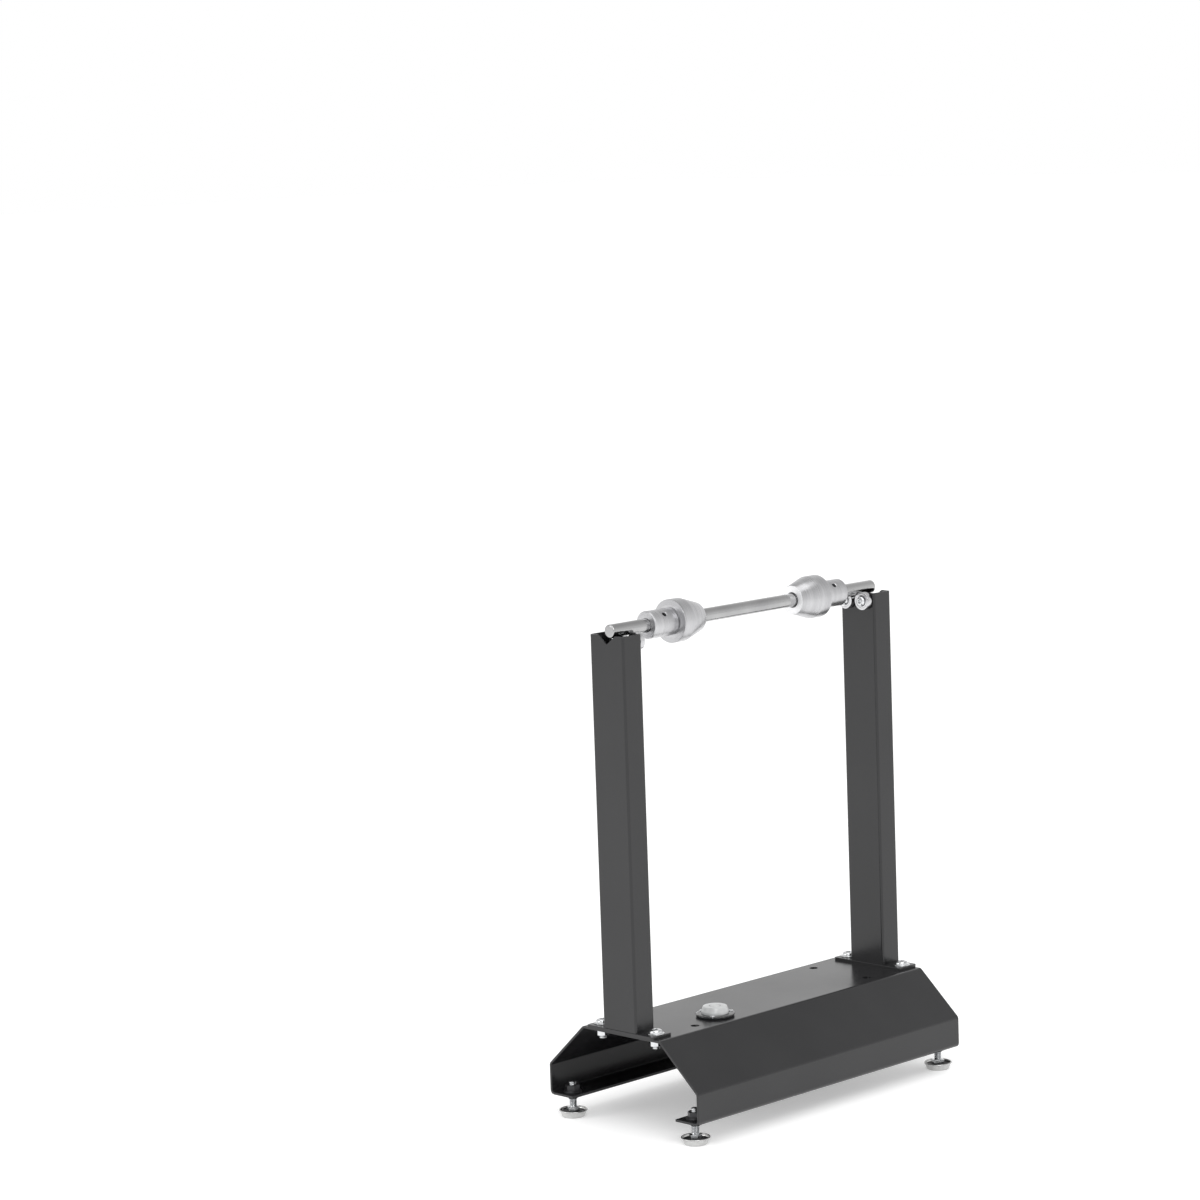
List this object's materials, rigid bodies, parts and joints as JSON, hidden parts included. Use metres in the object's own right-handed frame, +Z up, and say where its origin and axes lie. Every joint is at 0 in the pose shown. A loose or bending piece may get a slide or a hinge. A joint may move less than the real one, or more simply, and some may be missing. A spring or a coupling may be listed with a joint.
{
  "type": "motorcycle wheel balancing stand",
  "caption": "Bent steel stand on levelling feet; bolted uprights with ball bearings carry a rolling shaft with sliding centring cones, for balancing a motorcycle wheel.",
  "frame": {"origin": "on the floor, below the middle of the shaft", "axes": "+X along the shaft, from the left upright to the right one; +Y across the base, from front to rear; +Z up"},
  "size_m": [0.406, 0.2096, 0.5317],
  "materials": {
    "black_powder_coat": "satin, fine texture",
    "ground_steel": "ground and polished round bar",
    "turned_aluminium": "fine turned",
    "zinc_plated_steel": "bright zinc plate",
    "bearing_steel": "ground and polished",
    "black_oxide": "black oxide, semi-matt",
    "nickel_plate": "pressed and nickel plated",
    "black_plastic": "moulded, matt",
    "black_rubber": "matt",
    "milky_plastic": "milky acrylic",
    "clear_plastic": "clear moulded acrylic",
    "level_liquid": "pale clear liquid"
  },
  "bodies": {
    "stand": {"base_channel": "black_powder_coat", "left_foot_plate": "black_powder_coat", "left_upright": "black_powder_coat", "left_upright_bolts": "zinc_plated_steel", "left_upright_nuts": "zinc_plated_steel", "left_bearing_inner_rings": "bearing_steel", "left_bearing_balls": "bearing_steel", "left_bearing_spacers": "zinc_plated_steel", "left_bearing_bolts": "zinc_plated_steel", "left_bearing_nuts": "zinc_plated_steel", "right_foot_plate": "black_powder_coat", "right_upright": "black_powder_coat", "right_upright_bolts": "zinc_plated_steel", "right_upright_nuts": "zinc_plated_steel", "right_bearing_inner_rings": "bearing_steel", "right_bearing_balls": "bearing_steel", "right_bearing_spacers": "zinc_plated_steel", "right_bearing_bolts": "zinc_plated_steel", "right_bearing_nuts": "zinc_plated_steel", "foot_flange_nuts": "black_oxide", "foot_lock_nuts": "zinc_plated_steel", "level_pad": "black_rubber", "level_flange": "clear_plastic", "level_vial": "milky_plastic", "level_liquid": "level_liquid", "level_screws": "zinc_plated_steel"},
    "shaft": {"shaft": "ground_steel"},
    "left_front_bearing": {"left_front_bearing_outer_ring": "bearing_steel", "left_front_bearing_shields": "bearing_steel"},
    "left_front_foot": {"left_front_foot_cup": "nickel_plate", "left_front_foot_filling": "black_plastic", "left_front_foot_stem": "zinc_plated_steel"},
    "left_rear_bearing": {"left_rear_bearing_outer_ring": "bearing_steel", "left_rear_bearing_shields": "bearing_steel"},
    "left_rear_foot": {"left_rear_foot_cup": "nickel_plate", "left_rear_foot_filling": "black_plastic", "left_rear_foot_stem": "zinc_plated_steel"},
    "left_cone": {"left_cone": "turned_aluminium"},
    "left_collar": {"left_collar": "turned_aluminium"},
    "left_grub_screw": {"left_grub_screw": "black_oxide"},
    "right_front_bearing": {"right_front_bearing_outer_ring": "bearing_steel", "right_front_bearing_shields": "bearing_steel"},
    "right_front_foot": {"right_front_foot_cup": "nickel_plate", "right_front_foot_filling": "black_plastic", "right_front_foot_stem": "zinc_plated_steel"},
    "right_rear_bearing": {"right_rear_bearing_outer_ring": "bearing_steel", "right_rear_bearing_shields": "bearing_steel"},
    "right_rear_foot": {"right_rear_foot_cup": "nickel_plate", "right_rear_foot_filling": "black_plastic", "right_rear_foot_stem": "zinc_plated_steel"},
    "right_cone": {"right_cone": "turned_aluminium"},
    "right_collar": {"right_collar": "turned_aluminium"},
    "right_grub_screw": {"right_grub_screw": "black_oxide"}
  },
  "joints": [
    {"name": "shaft_spin", "type": "hinge", "parent": "stand", "child": "shaft", "pos_m": [0, 0, 0.5095], "axis": [1, 0, 0], "continuous": true},
    {"name": "left_front_bearing_spin", "type": "hinge", "parent": "stand", "child": "left_front_bearing", "pos_m": [0, -0.01174, 0.49776], "axis": [1, 0, 0], "continuous": true},
    {"name": "left_front_foot_adjust", "type": "slide", "parent": "stand", "child": "left_front_foot", "axis": [0, 0, 1], "range_m": [0, 0.008]},
    {"name": "left_rear_bearing_spin", "type": "hinge", "parent": "stand", "child": "left_rear_bearing", "pos_m": [0, 0.01174, 0.49776], "axis": [1, 0, 0], "continuous": true},
    {"name": "left_rear_foot_adjust", "type": "slide", "parent": "stand", "child": "left_rear_foot", "axis": [0, 0, 1], "range_m": [0, 0.008]},
    {"name": "left_cone_slide", "type": "slide", "parent": "shaft", "child": "left_cone", "axis": [1, 0, 0], "range_m": [-0.018, 0.068]},
    {"name": "left_collar_slide", "type": "slide", "parent": "shaft", "child": "left_collar", "axis": [1, 0, 0], "range_m": [-0.018, 0.068]},
    {"name": "left_grub_screw_travel", "type": "slide", "parent": "left_collar", "child": "left_grub_screw", "axis": [0, -0.7071, 0.7071], "range_m": [0, 0.002]},
    {"name": "right_front_bearing_spin", "type": "hinge", "parent": "stand", "child": "right_front_bearing", "pos_m": [0, -0.01174, 0.49776], "axis": [1, 0, 0], "continuous": true},
    {"name": "right_front_foot_adjust", "type": "slide", "parent": "stand", "child": "right_front_foot", "axis": [0, 0, 1], "range_m": [0, 0.008]},
    {"name": "right_rear_bearing_spin", "type": "hinge", "parent": "stand", "child": "right_rear_bearing", "pos_m": [0, 0.01174, 0.49776], "axis": [1, 0, 0], "continuous": true},
    {"name": "right_rear_foot_adjust", "type": "slide", "parent": "stand", "child": "right_rear_foot", "axis": [0, 0, 1], "range_m": [0, 0.008]},
    {"name": "right_cone_slide", "type": "slide", "parent": "shaft", "child": "right_cone", "axis": [-1, 0, 0], "range_m": [-0.018, 0.068]},
    {"name": "right_collar_slide", "type": "slide", "parent": "shaft", "child": "right_collar", "axis": [-1, 0, 0], "range_m": [-0.018, 0.068]},
    {"name": "right_grub_screw_travel", "type": "slide", "parent": "right_collar", "child": "right_grub_screw", "axis": [0, -0.7071, 0.7071], "range_m": [0, 0.002]}
  ],
  "couplings": [
    {"joint": "left_front_bearing_spin", "follows": "shaft_spin", "ratio": -0.73684},
    {"joint": "left_rear_bearing_spin", "follows": "shaft_spin", "ratio": -0.73684},
    {"joint": "left_collar_slide", "follows": "left_cone_slide", "ratio": 1},
    {"joint": "right_front_bearing_spin", "follows": "shaft_spin", "ratio": -0.73684},
    {"joint": "right_rear_bearing_spin", "follows": "shaft_spin", "ratio": -0.73684},
    {"joint": "right_collar_slide", "follows": "right_cone_slide", "ratio": 1}
  ]
}
